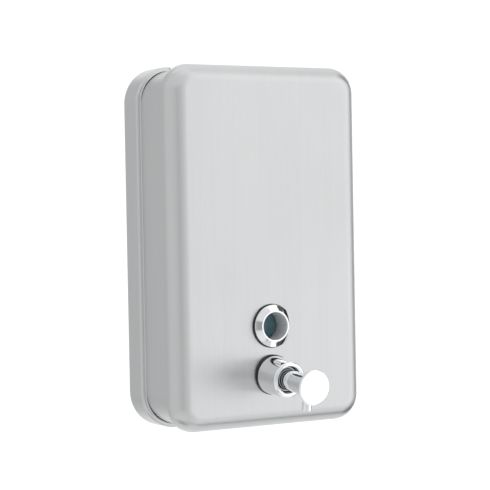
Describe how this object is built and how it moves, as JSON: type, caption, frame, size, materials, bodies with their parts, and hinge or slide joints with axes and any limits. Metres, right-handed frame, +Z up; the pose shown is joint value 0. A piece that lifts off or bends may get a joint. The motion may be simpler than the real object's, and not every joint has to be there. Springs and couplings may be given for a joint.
{
  "type": "wall mounted soap dispenser",
  "caption": "Upright satin steel wall soap dispenser with a locked hinged filler lid on top, a round sight window and a chrome push valve with a short downward spout.",
  "frame": {"origin": "centre of the wall plate's back face, in the wall's plane, level with the middle of the body's height", "axes": "+Z up, +Y into the wall, the front faces -Y, +X to the viewer's right"},
  "size_m": [0.1258, 0.1021, 0.2099],
  "materials": {
    "satin_steel": "satin, vertical grain",
    "raw_steel": "plain mill finish",
    "zinc_steel": "zinc plated, dull",
    "chrome": "bright polished plating",
    "clear_lens": "clear, faint sea-green tint",
    "black_rubber": "matt moulded rubber",
    "white_plastic": "moulded acetal",
    "natural_plastic": "milky extruded tube",
    "black_plastic": "moulded, fine grain"
  },
  "bodies": {
    "tank": {"wall_plate": "zinc_steel", "hanger_bracket": "raw_steel", "lock_screw": "raw_steel", "rear_pan": "satin_steel", "body_band": "satin_steel", "front_cover": "satin_steel", "filler_collar": "satin_steel", "hinge_pin": "raw_steel", "window_bezel": "chrome", "bezel_gasket": "black_rubber", "window_lens": "clear_lens", "lens_seal": "black_rubber", "window_gasket": "black_rubber", "window_nut": "white_plastic", "valve_bonnet": "chrome", "tilt_washer": "black_rubber", "inner_washer": "black_rubber", "valve_nut": "white_plastic", "valve_cylinder": "black_plastic", "cylinder_cap": "black_plastic", "intake_tube": "natural_plastic", "return_spring": "raw_steel"},
    "lid": {"filler_lid": "satin_steel", "lid_gasket": "black_rubber", "lock_barrel": "chrome", "lock_nut": "zinc_steel"},
    "lid_lock": {"lock_plug": "chrome", "lock_cam": "zinc_steel"},
    "push_button": {"push_button": "chrome", "duckbill": "black_rubber", "plunger": "white_plastic", "u_packing": "black_rubber"},
    "inlet_ball": {"inlet_ball": "white_plastic"}
  },
  "joints": [
    {"name": "lid_hinge", "type": "hinge", "parent": "tank", "child": "lid", "pos_m": [0, -0.0113, 0.1004], "axis": [-1, 0, 0], "range_deg": [0, 100]},
    {"name": "lid_lock_turn", "type": "hinge", "parent": "lid", "child": "lid_lock", "pos_m": [0, -0.031, 0.1], "axis": [0, 0, -1], "range_deg": [0, 90]},
    {"name": "button_push", "type": "slide", "parent": "tank", "child": "push_button", "axis": [0, 0.9962, 0.0872], "range_m": [0, 0.011], "stiffness_N_per_m": 600, "springref_m": -0.008, "deforming": ["return_spring"]},
    {"name": "inlet_ball_lift", "type": "slide", "parent": "tank", "child": "inlet_ball", "axis": [0, -0.9962, -0.0872], "range_m": [0, 0.0015]}
  ]
}
